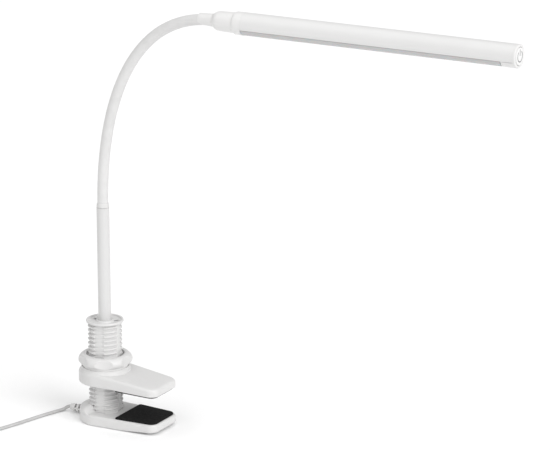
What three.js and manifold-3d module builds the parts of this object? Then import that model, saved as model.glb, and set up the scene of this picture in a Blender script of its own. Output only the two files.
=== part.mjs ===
// Clip-on reading lamp: a screw clamp, a rigid stem, a flexible gooseneck and a tubular LED head.
// Millimetres. The origin is on the screw post's axis at the clamp's underside, +X points along the
// jaws and the head, and +Z is up. Every sub-part is a mesh of its own.
import * as THREE from 'three';
import { mergeVertices } from 'three/addons/utils/BufferGeometryUtils.js';
import Module from 'manifold-3d';

const wasm = await Module();
wasm.setup();

// Clamp.
const jawBackRadius = 28.3;
const jawTipX = 75;
const jawCornerRadius = 10;
const jawCornerY = 14.8;
const jawEdge = 2.2;
const lowerJawTop = 11.5;
const upperJawHeight = 13.5;
const padThickness = 1.5;
const clampGap = 29;
const gripDrop = 1.8;
const gripStartX = 22;
const wall = 2.4;
const slack = 0.3;
const underStartX = 30;
const leadOutletHeight = 5.5;

// Screw post and nut.
const postCrest = 18;
const postRoot = 15.7;
const landAngles = [-81, 9, 99, 189];
const landDepth = 15.4;
const landHalfWidth = 5.3;
const postBore = 9;
const postTop = 108.2;
const threadPitch = 4.7;
const threadSteps = 20;
const threadSlack = 0.45;
const nutBase = 62.4;
const nutTop = 74;
const nutLobes = 6;
const nutTurn = -4;

// Stem and gooseneck.
const stemRadius = 6.65;
const stemTop = 232;
const neckRadius = 5.6;
const neckCoreRadius = 4.4;
const neckStart = 234;
const neckEndX = 134.2;
const neckRise = 130.5;
const neckReach = 82.3;
const pivotCount = 8;
const firstPivot = 20;
const pivotSpacing = 33;
const pivotGap = 1.4;
const ballRadius = 4.1;
const socketRadius = 4.7;

// Head, along +X at this height.
const headHeight = 443.2;
const headRadius = 11.6;
const headWall = 1.3;
const headBack = 156;
const tubeStart = 168;
const tubeEnd = 464.5;
const slotAngle = 25;
const barLow = 1.2;
const barHigh = 2.6;
const diffuserEnd = 451.5;
const ledCount = 8;

// Lead, lying on the surface that the clamp's underside is level with.
const leadDiameter = 3.5;
const leadHeight = leadDiameter / 2 + 0.1;
const coilCentre = new THREE.Vector2(-109.5, -104.5);
const coilOuter = 23.6;
const coilInner = 14.9;
const coilLayers = 4;
const plugStart = new THREE.Vector3(-126.6, -66, 4.3);
const plugHeading = new THREE.Vector2(-0.25, 0.968).normalize();

const lowerPadTop = lowerJawTop + padThickness;
const upperPadBottom = lowerPadTop + clampGap;
const upperJawBottom = upperPadBottom + padThickness;
const upperJawTop = upperJawBottom + upperJawHeight;
const neckLine = new THREE.CubicBezierCurve3(
  new THREE.Vector3(0, 0, neckStart),
  new THREE.Vector3(0, 0, neckStart + neckRise),
  new THREE.Vector3(neckEndX - neckReach, 0, headHeight),
  new THREE.Vector3(neckEndX, 0, headHeight),
);

// ---- Materials -------------------------------------------------------------------------------

function finish(color, roughness, metalness) {
  return new THREE.MeshStandardMaterial({ color, roughness, metalness });
}

const whitePlastic = finish(0xf1f1ee, 0.42, 0);
const whiteGloss = finish(0xf4f4f2, 0.25, 0);
const whiteMetal = finish(0xf2f2ef, 0.3, 0.1);
const sheathRubber = finish(0xeeeeeb, 0.6, 0);
const blackRubber = finish(0x1a1a1a, 0.9, 0);
const leadRubber = finish(0xc9c9c7, 0.55, 0);
const steel = finish(0x9a9c9e, 0.35, 1);
const aluminium = finish(0xc9cbcd, 0.4, 1);
const milkyPlastic = finish(0xe6e7e6, 0.5, 0);
const boardWhite = finish(0xf6f6f4, 0.5, 0);
const boardGreen = finish(0x2d6b45, 0.5, 0);
const phosphor = finish(0xf4dc6a, 0.5, 0);
const copperRed = finish(0xb03028, 0.5, 0);
const copperBlack = finish(0x202020, 0.5, 0);

// ---- Solids ----------------------------------------------------------------------------------

// A closed geometry as a solid, without the areas of nothing that a turned profile has on its axis.
function solidOf(geometry) {
  const bare = geometry.clone();
  bare.deleteAttribute('normal');
  bare.deleteAttribute('uv');
  const merged = mergeVertices(bare, 1e-4);
  const index = merged.index.array;
  const corners = [];
  for (let i = 0; i < index.length; i += 3) {
    const [a, b, c] = [index[i], index[i + 1], index[i + 2]];
    if (a !== b && b !== c && c !== a) corners.push(a, b, c);
  }
  const mesh = new wasm.Mesh({
    numProp: 3,
    vertProperties: new Float32Array(merged.attributes.position.array),
    triVerts: new Uint32Array(corners),
  });
  return new wasm.Manifold(mesh);
}

function geometryOf(solid) {
  const mesh = solid.getMesh();
  const geometry = new THREE.BufferGeometry();
  geometry.setAttribute('position', new THREE.BufferAttribute(new Float32Array(mesh.vertProperties), 3));
  geometry.setIndex(new THREE.BufferAttribute(new Uint32Array(mesh.triVerts), 1));
  return geometry;
}

function cut(base, ...tools) {
  return geometryOf(tools.reduce((solid, tool) => solid.subtract(solidOf(tool)), solidOf(base)));
}

function join(base, ...others) {
  return geometryOf(others.reduce((solid, other) => solid.add(solidOf(other)), solidOf(base)));
}

function common(base, other) {
  return geometryOf(solidOf(base).intersect(solidOf(other)));
}

function box(x0, x1, y0, y1, z0, z1) {
  const geometry = new THREE.BoxGeometry(x1 - x0, y1 - y0, z1 - z0);
  return geometry.translate((x0 + x1) / 2, (y0 + y1) / 2, (z0 + z1) / 2);
}

// A profile of [radius, height] pairs, anticlockwise, turned about Z.
function turned(profile, segments = 32) {
  const points = profile.map(([radius, height]) => new THREE.Vector2(radius, height));
  return new THREE.LatheGeometry(points, segments).rotateX(Math.PI / 2);
}

function disc(radius, z0, z1, segments = 32) {
  return turned([[0, z0], [radius, z0], [radius, z1], [0, z1]], segments);
}

function ring(inner, outer, z0, z1, segments = 32) {
  return turned([[inner, z0], [outer, z0], [outer, z1], [inner, z1], [inner, z0]], segments);
}

// An outline extruded upwards from z0, with an optional rounded edge inside its height.
function plate(outline, z0, z1, edge = 0) {
  const geometry = new THREE.ExtrudeGeometry(outline, {
    depth: z1 - z0 - 2 * edge,
    bevelEnabled: edge > 0,
    bevelThickness: edge,
    bevelSize: edge,
    bevelSegments: 2,
    curveSegments: 7,
  });
  return geometry.translate(0, 0, z0 + edge);
}

// Turns a geometry's local X, Y, Z into the lamp's Y, Z, X, for what runs along the head.
function alongHead(geometry, x = 0) {
  const basis = new THREE.Matrix4().makeBasis(
    new THREE.Vector3(0, 1, 0),
    new THREE.Vector3(0, 0, 1),
    new THREE.Vector3(1, 0, 0),
  );
  return geometry.applyMatrix4(basis).translate(x, 0, 0);
}

function swept(path, radius, steps, sides) {
  const section = new THREE.Shape();
  for (let k = 0; k < sides; k += 1) {
    const angle = (2 * Math.PI * k) / sides;
    const [x, y] = [radius * Math.cos(angle), radius * Math.sin(angle)];
    if (k === 0) section.moveTo(x, y);
    else section.lineTo(x, y);
  }
  section.closePath();
  return new THREE.ExtrudeGeometry(section, { steps, extrudePath: path, bevelEnabled: false });
}

function part(name, geometry, material) {
  const mesh = new THREE.Mesh(geometry, material);
  mesh.name = name;
  return mesh;
}

// The jaws' outline: a round back about the post and a blunt front, drawn in by an inset.
function jawOutline(inset = 0) {
  const centreX = jawTipX - jawCornerRadius;
  const distance = Math.hypot(centreX, jawCornerY);
  const along = Math.atan2(jawCornerY, centreX);
  const tangent = along + Math.acos((jawBackRadius - jawCornerRadius) / distance);
  const back = jawBackRadius - inset;
  const corner = jawCornerRadius - inset;
  const outline = new THREE.Shape();
  outline.absarc(0, 0, back, tangent, 2 * Math.PI - tangent, false);
  outline.absarc(centreX, -jawCornerY, corner, -tangent, 0, false);
  outline.absarc(centreX, jawCornerY, corner, 0, tangent, false);
  outline.closePath();
  return outline;
}

// A front part of the jaws' outline, for the grip pads.
function padOutline(backX, inset) {
  const centreX = jawTipX - jawCornerRadius;
  const corner = jawCornerRadius - inset;
  const backY = jawBackRadius - inset - 0.7;
  const outline = new THREE.Shape();
  outline.absarc(backX + 2, -backY + 2, 2, -Math.PI, -Math.PI / 2, false);
  outline.absarc(centreX, -jawCornerY, corner, -Math.PI / 2, 0, false);
  outline.absarc(centreX, jawCornerY, corner, 0, Math.PI / 2, false);
  outline.absarc(backX + 2, backY - 2, 2, Math.PI / 2, Math.PI, false);
  outline.closePath();
  return outline;
}

// A right-hand screw thread of a V section round a solid core, from z0 up.
function threadedRod(root, crest, z0, turns) {
  const steps = turns * threadSteps;
  const positions = [];
  const corners = [];
  function point(radius, k, rise) {
    const angle = (2 * Math.PI * k) / threadSteps;
    positions.push(radius * Math.cos(angle), radius * Math.sin(angle));
    positions.push(z0 + threadPitch * (k / threadSteps + rise));
  }
  for (let k = 0; k <= steps + threadSteps; k += 1) point(root, k, 0);
  for (let k = 0; k <= steps; k += 1) point(crest, k, 0.5);
  const rootAt = (k) => k;
  const crestAt = (k) => steps + threadSteps + 1 + k;
  const foot = positions.length / 3;
  positions.push(0, 0, z0 - threadPitch);
  positions.push(0, 0, z0 + threadPitch * (turns + 2));
  const head = foot + 1;
  for (let k = 0; k < steps; k += 1) {
    const above = k + threadSteps;
    corners.push(rootAt(k), rootAt(k + 1), crestAt(k + 1));
    corners.push(rootAt(k), crestAt(k + 1), crestAt(k));
    corners.push(crestAt(k), crestAt(k + 1), rootAt(above + 1));
    corners.push(crestAt(k), rootAt(above + 1), rootAt(above));
  }
  for (let k = 0; k < threadSteps; k += 1) {
    corners.push(foot, rootAt(k + 1), rootAt(k));
    corners.push(head, rootAt(steps + k), rootAt(steps + k + 1));
  }
  corners.push(foot, crestAt(0), rootAt(threadSteps), foot, rootAt(0), crestAt(0));
  corners.push(head, crestAt(steps), rootAt(steps), head, rootAt(steps + threadSteps), crestAt(steps));
  const geometry = new THREE.BufferGeometry();
  geometry.setAttribute('position', new THREE.BufferAttribute(new Float32Array(positions), 3));
  geometry.setIndex(corners);
  return geometry;
}

// ---- Clamp -----------------------------------------------------------------------------------

// The cover's screws: their places, and the heights of their heads and of the jaw bosses they enter.
const coverScrews = [
  { x: -16.4, y: 16.4, seat: 0.1, boss: 3.6 },
  { x: -16.4, y: -16.4, seat: 0.1, boss: 3.6 },
  { x: 58, y: 13, seat: 2, boss: 4.7 },
  { x: 58, y: -13, seat: 2, boss: 4.7 },
];

// The underside rises towards the tips of the jaw and its cover, from underStartX on.
function belowUnderside(lift) {
  const wedge = box(0, 60, -40, 40, -20, 0).rotateY(-Math.atan2(3, 45));
  return wedge.translate(underStartX, 0, lift);
}

// The lower jaw is a shell with a bottom cover, a hub round the back of the post and a post seat.
function lowerJaw() {
  const outside = plate(jawOutline(jawEdge), 0, lowerJawTop, jawEdge);
  const hub = turned([
    [postCrest + slack, 8],
    [jawBackRadius - 0.4, 8],
    [jawBackRadius - 0.4, 15],
    [postCrest + slack, 19.5],
    [postCrest + slack, 8],
  ], 28);
  const hubHalf = common(hub, box(-40, -5, -40, 40, 0, 30));
  const inside = plate(jawOutline(wall), -1, lowerJawTop - wall);
  const seat = disc(postCrest + slack, 0, 22);
  const outlet = new THREE.CylinderGeometry(2.6, 2.6, 12, 12).rotateZ(Math.PI / 2);
  outlet.translate(-jawBackRadius + 2, 0, leadOutletHeight);
  const shell = cut(join(outside, hubHalf), belowUnderside(0), inside, seat, outlet);
  const top = lowerJawTop - wall + 0.5;
  const bosses = coverScrews.map(({ x, y, boss }) => disc(2.6, boss, top, 10).translate(x, y, 0));
  const holes = coverScrews.map(({ x, y }) => disc(1.3, 0, 8, 8).translate(x, y, 0));
  return cut(join(shell, ...bosses), ...holes);
}

function bottomCover() {
  const outline = jawOutline(wall + slack);
  const thickness = 1.8;
  const flat = plate(outline, 0, thickness);
  const front = common(plate(outline, thickness, 6), box(underStartX, 90, -40, 40, 0, 9));
  const above = box(-2, 60, -40, 40, 0, 20).rotateY(-Math.atan2(3, 45)).translate(underStartX, 0, thickness);
  const heads = coverScrews.map(({ x, y, seat }) => disc(2.6, -1, seat + 1, 10).translate(x, y, 0));
  const shanks = coverScrews.map(({ x, y }) => disc(1.5, -1, 9, 10).translate(x, y, 0));
  return cut(join(flat, cut(front, above)), belowUnderside(0), ...heads, ...shanks);
}

function coverScrew({ x, y, seat }) {
  const head = disc(2.2, seat, seat + 0.9, 10);
  const shank = disc(1.0, seat + 0.8, 7.6, 8);
  const drive = box(-1.6, 1.6, -0.3, 0.3, seat - 1, seat + 0.4);
  return cut(join(head, shank), drive).translate(x, y, 0);
}

// A channel along the post, or a key of the upper jaw that runs in one.
function alongPost(angle, depth, halfWidth, z0, z1) {
  const channel = box(depth, 25, -halfWidth, halfWidth, z0, z1);
  return channel.rotateZ(THREE.MathUtils.degToRad(angle));
}

// The post is one moulding: a foot under the jaw's top wall, a thread with four smooth lands down
// it, and a bore for the stem.
function threadedPost() {
  const footBase = 3.6;
  const thread = threadedRod(postRoot, postCrest, -threadPitch, 25);
  const lands = landAngles.map((angle) => alongPost(angle, landDepth, landHalfWidth, 0, 120));
  const span = cut(common(thread, box(-20, 20, -20, 20, 8, postTop)), ...lands);
  const foot = turned([[postBore, footBase], [20, footBase], [20, 8.7], [postBore, 8.7], [postBore, footBase]]);
  const bore = disc(postBore, 0, 130);
  const mouth = disc(13.9, 104.5, 130);
  const cleared = cut(foot, box(-12, 12, -25, -18.6, 0, 12), box(-12, 12, 18.6, 25, 0, 12));
  return cut(join(span, cleared), bore, mouth);
}

const capScrewAngles = [35, 175];

// The post's cap: a flange that stops the nut, a shallow dish and a boss round the stem.
function postCap() {
  const body = turned([
    [stemRadius + slack, 101],
    [postBore - slack, 101],
    [postBore - slack, 104.8],
    [13.6, 104.8],
    [13.6, postTop],
    [19.6, postTop],
    [19.6, postTop + 2.5],
    [17.6, postTop + 2.5],
    [17, postTop + 0.7],
    [9.6, postTop + 0.3],
    [8.8, postTop + 2],
    [stemRadius + slack, postTop + 2],
    [stemRadius + slack, 101],
  ], 28);
  const holes = capScrewAngles.map((angle) => {
    const hole = disc(2.3, 107.2, 112, 10).translate(11.3, 0, 0);
    return hole.rotateZ(THREE.MathUtils.degToRad(angle));
  });
  return cut(body, ...holes);
}

function capScrew(angle) {
  const head = disc(1.9, 107.3, 108, 10);
  const drive = box(-1.3, 1.3, -0.25, 0.25, 107.7, 109);
  const slotted = cut(head, drive);
  return slotted.translate(11.3, 0, 0).rotateZ(THREE.MathUtils.degToRad(angle));
}

// The upper jaw's gripping face toes in, so that its tip is gripDrop lower than its back.
function tilted(geometry) {
  const slope = Math.atan2(gripDrop, jawTipX - gripStartX);
  return geometry.rotateY(slope).translate(gripStartX, 0, upperJawBottom);
}

function upperPad() {
  const sheet = plate(padOutline(27.2, 2.6), -padThickness, 0);
  return tilted(sheet.translate(-gripStartX, 0, 0));
}

// The upper jaw slides up and down the post, kept from turning by two keys in the post's lands.
function upperJaw() {
  const outside = plate(jawOutline(3), upperJawBottom - gripDrop, upperJawTop, 3);
  const slope = box(-60, 120, -40, 40, 0, 30).rotateY(Math.atan2(6.5, 61));
  slope.translate(14, 0, upperJawTop - 0.5);
  const underBack = box(-40, gripStartX, -40, 40, 30, upperJawBottom);
  const underFront = tilted(box(-10, 70, -40, 40, -15, 0));
  const boss = turned([
    [0, upperJawTop - 4],
    [27.3, upperJawTop - 4],
    [27.3, upperJawTop - 0.5],
    [25.5, 58.6],
    [25.2, 60.3],
    [0, 60.3],
  ], 28);
  const keys = [landAngles[0], landAngles[2]].map((angle) => alongPost(angle, landDepth + 0.5, 4.9, 0, 90));
  const hole = cut(disc(postCrest + 0.5, 30, 80, 28), ...keys);
  const seat = ring(19.5, 24.3, 59.4, 62, 28);
  const pocket = plate(padOutline(30, 5), upperJawBottom - 4, upperJawBottom + 3.4);
  const body = cut(outside, slope, underBack, underFront);
  return cut(join(body, boss), hole, seat, pocket);
}

function thrustRing() {
  return ring(19.8, 24, 59.4, 62.1, 28);
}

// The hand nut: six lobes with finger scoops between, a flat top, and a thread below a counterbore.
function handNut() {
  const shape = [[-10, 28.8], [0, 29], [10, 28.8], [17, 26.3], [24, 25.1], [30, 24.9], [36, 25.1], [43, 26.3]];
  const outline = new THREE.Shape();
  for (let k = 0; k < nutLobes; k += 1) {
    const middle = 30 + (360 * k) / nutLobes + nutTurn;
    shape.forEach(([offset, radius], step) => {
      const angle = THREE.MathUtils.degToRad(middle + offset);
      const [x, y] = [radius * Math.cos(angle), radius * Math.sin(angle)];
      if (k === 0 && step === 0) outline.moveTo(x, y);
      else outline.lineTo(x, y);
    });
  }
  outline.closePath();
  const body = plate(outline, nutBase, nutTop);
  const barrel = turned([
    [0, nutBase],
    [25, nutBase],
    [28.3, nutBase + 3.6],
    [28.6, nutTop - 3.6],
    [28.1, nutTop - 1],
    [27.1, nutTop],
    [0, nutTop],
  ], 48);
  const thread = threadedRod(postRoot + threadSlack, postCrest + threadSlack, threadPitch * 10, 8);
  return cut(common(body, barrel), thread, disc(20, nutTop - 4, nutTop + 1));
}

// ---- Stem and gooseneck ----------------------------------------------------------------------

function stemTube() {
  return ring(stemRadius - 1.2, stemRadius, 14, stemTop, 20);
}

function stemLockRing() {
  return ring(stemRadius + slack, postBore - slack, 16, 22, 20);
}

// The bush in the stem's mouth, tapering from the stem down to the gooseneck's sheath.
function stemBush() {
  return turned([
    [3.2, stemTop - 12],
    [stemRadius - 1.2 - slack, stemTop - 12],
    [stemRadius - 1.2 - slack, stemTop + slack],
    [stemRadius, stemTop + slack],
    [stemRadius, stemTop + 2.3],
    [stemRadius - 0.6, stemTop + 5],
    [3.2, stemTop + 5],
    [3.2, stemTop - 12],
  ], 20);
}

function neckPoint(distance) {
  return neckLine.getPointAt(distance / neckLine.getLength());
}

function neckTangent(distance) {
  return neckLine.getTangentAt(distance / neckLine.getLength());
}

// A stretch of the neck's centreline, as a smooth path between two distances along it.
function neckStretch(from, to) {
  const points = [0, 1, 2, 3].map((k) => neckPoint(from + ((to - from) * k) / 3));
  return new THREE.CatmullRomCurve3(points);
}

const pivots = Array.from({ length: pivotCount }, (_, k) => firstPivot + pivotSpacing * k);

// A length of gooseneck between two pivots: a socket at its lower end and a ball at its upper end.
function neckLink(from, to, hasSocket, hasBall) {
  const start = hasSocket ? from + pivotGap : from;
  const end = hasBall ? to - pivotGap : to;
  const bar = swept(neckStretch(start, end), neckRadius, 4, 10);
  const ball = new THREE.SphereGeometry(ballRadius, 10, 6).translate(...neckPoint(to));
  const socket = new THREE.SphereGeometry(socketRadius, 10, 6).translate(...neckPoint(from));
  const shaped = hasBall ? join(bar, ball) : bar;
  return hasSocket ? cut(shaped, socket) : shaped;
}

// The last stretch runs up to the boot, with a thinner end inside it.
function neckTip(from) {
  const end = neckLine.getLength();
  const core = swept(neckStretch(end - 16, end - 0.6), neckCoreRadius, 3, 10);
  return join(neckLink(from, end - 12.9, true, false), core);
}

function neckParts() {
  const group = new THREE.Group();
  group.add(part('neck_root', neckLink(3.4, pivots[0], false, true), sheathRubber));
  for (let k = 0; k + 1 < pivotCount; k += 1) {
    group.add(part(`neck_link_${k + 1}`, neckLink(pivots[k], pivots[k + 1], true, true), sheathRubber));
  }
  group.add(part('neck_tip', neckTip(pivots[pivotCount - 1]), sheathRubber));
  return group;
}

// ---- Head ------------------------------------------------------------------------------------

// The boot covers the neck's end and the sleeve carries it in the rear cap.
function headBoot() {
  return alongHead(turned([
    [neckCoreRadius + 1, 0],
    [6.5, 0],
    [6.8, 2],
    [6.8, 12.4],
    [neckCoreRadius + 1, 12.4],
    [neckCoreRadius + 1, 0],
  ], 20), 122);
}

function headSleeve() {
  return alongHead(turned([
    [3, 0],
    [9.6, 0],
    [10.4, 1.5],
    [10.4, 20.7],
    [8.6, 20.7],
    [8.6, 28],
    [3, 28],
    [3, 0],
  ], 24), 135);
}

function rearCap() {
  const cap = alongHead(turned([
    [8.9, 0],
    [10.9, 0],
    [11.6, 0.8],
    [11.6, 11.7],
    [10, 11.7],
    [10, 17],
    [8.9, 17],
    [8.9, 0],
  ], 24), headBack);
  return cut(cap, box(tubeStart - slack, tubeStart + 6, -11, 11, barLow - slack, barHigh + slack));
}

// The aluminium section: a tube open below, with a bar across it that carries the LED board.
function headTube() {
  const inner = headRadius - headWall;
  const lip = THREE.MathUtils.degToRad(slotAngle - 1.5);
  const barTop = Math.asin(barHigh / inner);
  const barBottom = Math.asin(barLow / inner);
  const outline = new THREE.Shape();
  outline.absarc(0, 0, headRadius, -lip, Math.PI + lip, false);
  outline.absarc(0, 0, inner, Math.PI + lip, Math.PI - barBottom, true);
  outline.lineTo(inner * Math.cos(barBottom), barLow);
  outline.absarc(0, 0, inner, barBottom, -lip, true);
  outline.closePath();
  const chamber = new THREE.Path();
  chamber.absarc(0, 0, inner, barTop, Math.PI - barTop, false);
  chamber.closePath();
  outline.holes.push(chamber);
  const section = new THREE.ExtrudeGeometry(outline, {
    depth: tubeEnd - tubeStart,
    bevelEnabled: false,
    curveSegments: 15,
  });
  return alongHead(section, tubeStart);
}

function lowerArc(outer, inner, angle) {
  const start = THREE.MathUtils.degToRad(180 + angle);
  const end = THREE.MathUtils.degToRad(360 - angle);
  const outline = new THREE.Shape();
  outline.absarc(0, 0, outer, start, end, false);
  if (inner > 0) outline.absarc(0, 0, inner, end, start, true);
  outline.closePath();
  return outline;
}

function alongSlot(outline, x0, x1) {
  const settings = { depth: x1 - x0, bevelEnabled: false, curveSegments: 10 };
  return alongHead(new THREE.ExtrudeGeometry(outline, settings), x0);
}

function diffuser() {
  return alongSlot(lowerArc(headRadius - 0.1, headRadius - 1.5, slotAngle + 1), tubeStart + slack, diffuserEnd);
}

function ledBoard() {
  return box(tubeStart + 4, diffuserEnd - 4, -6, 6, -0.1, 1.1);
}

function led(index) {
  const x = tubeStart + 26 + ((diffuserEnd - tubeStart - 52) * index) / (ledCount - 1);
  return box(x - 1.75, x + 1.75, -1.4, 1.4, -1.0, -0.15);
}

// The end cap closes the tube and fills the slot past the diffuser. The button sits in its face.
function endCap() {
  const rim = alongHead(turned([
    [5.7, 0],
    [headRadius, 0],
    [headRadius, 2.4],
    [headRadius - 0.6, 3],
    [9, 3],
    [9, 1.2],
    [5.7, 1.2],
    [5.7, 0],
  ], 28), tubeEnd);
  const tongue = alongSlot(lowerArc(headRadius - 0.1, headRadius - 3.4, slotAngle + 1), diffuserEnd + slack, tubeEnd + 0.5);
  return join(rim, tongue);
}

function button() {
  const face = turned([[0, 2.1], [8.6, 2.1], [8.6, 2.9], [8.2, 3.3], [0, 3.3]], 24);
  const stem = disc(0.9, -2.2, 2.3, 8);
  return alongHead(join(face, stem), tubeEnd);
}

function tactSwitch() {
  return box(458, tubeEnd - 3.1, -3, 3, -3, 1.1);
}

function controlBoard() {
  return box(diffuserEnd + 0.5, 457.8, -6, 6, -2, 1.1);
}

// A lead in the upper chamber, from the sleeve's mouth to above the control board.
function boardLead(y) {
  const length = diffuserEnd - tubeStart;
  return alongHead(disc(0.7, 0, length, 8).translate(y, 4.2, 0), tubeStart - 4);
}

function headParts() {
  const group = new THREE.Group();
  group.position.z = headHeight;
  group.add(part('head_boot', headBoot(), whitePlastic));
  group.add(part('head_sleeve', headSleeve(), whitePlastic));
  group.add(part('rear_cap', rearCap(), whitePlastic));
  group.add(part('head_tube', headTube(), whiteMetal));
  group.add(part('diffuser', diffuser(), milkyPlastic));
  group.add(part('led_board', ledBoard(), boardWhite));
  for (let k = 0; k < ledCount; k += 1) group.add(part(`led_${k + 1}`, led(k), phosphor));
  group.add(part('end_cap', endCap(), whitePlastic));
  group.add(part('button', button(), whiteGloss));
  group.add(part('tact_switch', tactSwitch(), copperBlack));
  group.add(part('control_board', controlBoard(), boardGreen));
  group.add(part('board_lead_red', boardLead(1.6), copperRed));
  group.add(part('board_lead_black', boardLead(-1.6), copperBlack));
  return group;
}

// ---- Lead ------------------------------------------------------------------------------------

function strainRelief() {
  const profile = [[leadDiameter / 2 + slack, 0], [2.2, 0]];
  const start = 4.2;
  profile.push([2.2, start], [4.75, start]);
  for (let k = 0; k < 3; k += 1) {
    const x = start + 5 * k;
    const radius = 4.75 - 0.3 * k;
    profile.push([radius, x + 3.4], [3.1, x + 3.4], [3.1, x + 5], [radius - 0.3, x + 5]);
  }
  profile.push([3.7, 21], [leadDiameter / 2 + slack, 21], [leadDiameter / 2 + slack, 0]);
  const geometry = turned(profile, 12);
  return geometry.rotateY(-Math.PI / 2).translate(-jawBackRadius + 4, 0, leadOutletHeight);
}

// The free stretch, from inside the strain relief round to the coil's edge.
const leadRoute = [
  [-45.7, 0, 5.5],
  [-48, -0.2, 4.9],
  [-50.2, -1.3, 3.6],
  [-51.7, -2.9, 2.5],
  [-53, -5.2, 1.95],
  [-54.1, -8, leadHeight],
  [-55.3, -11.6, leadHeight],
  [-56.6, -15.8, leadHeight],
  [-58.6, -22.2, leadHeight],
  [-61.3, -31, leadHeight],
  [-64.3, -42, leadHeight],
  [-67.6, -55, leadHeight],
  [-71.2, -68, leadHeight],
  [-75.2, -81, leadHeight],
  [-79.2, -92.5, leadHeight],
  [-82.6, -101.4, leadHeight],
];

const tailRoute = [
  [-127.4, -83.4, 9.4],
  [-126.6, -79.8, 7.6],
  [-126.2, -75.6, 5.9],
  [-126.2, -71.2, 4.8],
  [-126.5, -67.4, 4.35],
];

function routePath(route) {
  return new THREE.CatmullRomCurve3(route.map((point) => new THREE.Vector3(...point)));
}

function leadCoil() {
  const half = leadDiameter / 2;
  return ring(coilInner - half, coilOuter + half, 0.1, 0.1 + coilLayers * leadDiameter, 32);
}

// The plug is modelled along +Y from its boot, then turned to its heading and put in place.
function placedPlug(geometry) {
  const turn = Math.atan2(plugHeading.y, plugHeading.x) - Math.PI / 2;
  return geometry.rotateZ(turn).translate(...plugStart);
}

function plugBody() {
  const boot = new THREE.CylinderGeometry(2.8, 2.2, 6, 16).translate(0, 3, 0);
  const outline = new THREE.Shape();
  outline.absarc(-4, -2, 2, Math.PI, 1.5 * Math.PI, false);
  outline.absarc(4, -2, 2, 1.5 * Math.PI, 2 * Math.PI, false);
  outline.absarc(4, 2, 2, 0, 0.5 * Math.PI, false);
  outline.absarc(-4, 2, 2, 0.5 * Math.PI, Math.PI, false);
  outline.closePath();
  const block = new THREE.ExtrudeGeometry(outline, { depth: 20, bevelEnabled: false, curveSegments: 4 });
  block.rotateX(-Math.PI / 2).translate(0, 5.5, 0);
  const pocket = box(-6, 6, 24, 30, -2.3, 2.3);
  return placedPlug(cut(join(boot, block), pocket.scale(0.98, 1, 1)));
}

function plugShell() {
  const outside = box(-5.6, 5.6, 24.2, 37.5, -2.1, 2.1);
  const inside = box(-5.2, 5.2, 25, 38, -1.7, 1.7);
  const tongue = box(-4.9, 4.9, 24.5, 36.8, -1.3, 0.5);
  return placedPlug(join(cut(outside, inside), tongue));
}

// ---- The lamp --------------------------------------------------------------------------------

function clampParts() {
  const group = new THREE.Group();
  group.add(part('lower_jaw', lowerJaw(), whitePlastic));
  group.add(part('bottom_cover', bottomCover(), whitePlastic));
  coverScrews.forEach((screw, k) => group.add(part(`cover_screw_${k + 1}`, coverScrew(screw), steel)));
  group.add(part('lower_pad', plate(padOutline(27.2, 2.6), lowerJawTop, lowerPadTop), blackRubber));
  group.add(part('threaded_post', threadedPost(), whitePlastic));
  group.add(part('post_cap', postCap(), whitePlastic));
  capScrewAngles.forEach((angle, k) => group.add(part(`cap_screw_${k + 1}`, capScrew(angle), steel)));
  group.add(part('upper_jaw', upperJaw(), whitePlastic));
  group.add(part('upper_pad', upperPad(), blackRubber));
  group.add(part('thrust_ring', thrustRing(), milkyPlastic));
  group.add(part('hand_nut', handNut(), whitePlastic));
  return group;
}

function stemParts() {
  const group = new THREE.Group();
  group.add(part('stem_tube', stemTube(), whiteMetal));
  group.add(part('stem_lock_ring', stemLockRing(), aluminium));
  group.add(part('stem_bush', stemBush(), whitePlastic));
  return group;
}

function leadParts() {
  const group = new THREE.Group();
  group.add(part('strain_relief', strainRelief(), whitePlastic));
  group.add(part('lead', swept(routePath(leadRoute), leadDiameter / 2, 18, 8), leadRubber));
  group.add(part('lead_coil', leadCoil().translate(coilCentre.x, coilCentre.y, 0), leadRubber));
  group.add(part('lead_tail', swept(routePath(tailRoute), leadDiameter / 2, 5, 8), leadRubber));
  group.add(part('plug_body', plugBody(), whitePlastic));
  group.add(part('plug_shell', plugShell(), steel));
  return group;
}

const lamp = new THREE.Group();
lamp.add(clampParts(), stemParts(), neckParts(), headParts(), leadParts());

export default lamp;
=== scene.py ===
"""The looks of a clip-on reading lamp over its CAD frame: the camera and the lead first, then the
finishes, clamp, stem, gooseneck, head and studio. Lengths are millimetres up to the mesh builders,
which turn them into metres."""

import math

import bmesh
import bpy
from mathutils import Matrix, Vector


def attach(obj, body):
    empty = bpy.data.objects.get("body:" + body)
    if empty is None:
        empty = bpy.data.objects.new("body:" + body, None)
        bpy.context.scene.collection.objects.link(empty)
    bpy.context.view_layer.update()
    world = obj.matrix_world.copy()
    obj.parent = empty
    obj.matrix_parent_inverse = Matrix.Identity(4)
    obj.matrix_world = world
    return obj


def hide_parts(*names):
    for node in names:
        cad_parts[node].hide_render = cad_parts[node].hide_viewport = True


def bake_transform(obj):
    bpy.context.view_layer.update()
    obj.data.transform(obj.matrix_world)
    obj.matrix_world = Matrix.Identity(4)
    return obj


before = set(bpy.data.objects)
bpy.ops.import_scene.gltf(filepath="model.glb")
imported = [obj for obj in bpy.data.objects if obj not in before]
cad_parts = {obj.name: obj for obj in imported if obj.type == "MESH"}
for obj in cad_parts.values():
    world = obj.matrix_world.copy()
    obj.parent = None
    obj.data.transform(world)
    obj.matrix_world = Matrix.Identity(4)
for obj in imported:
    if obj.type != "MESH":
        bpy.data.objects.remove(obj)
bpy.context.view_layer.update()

MM = 0.001

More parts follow.
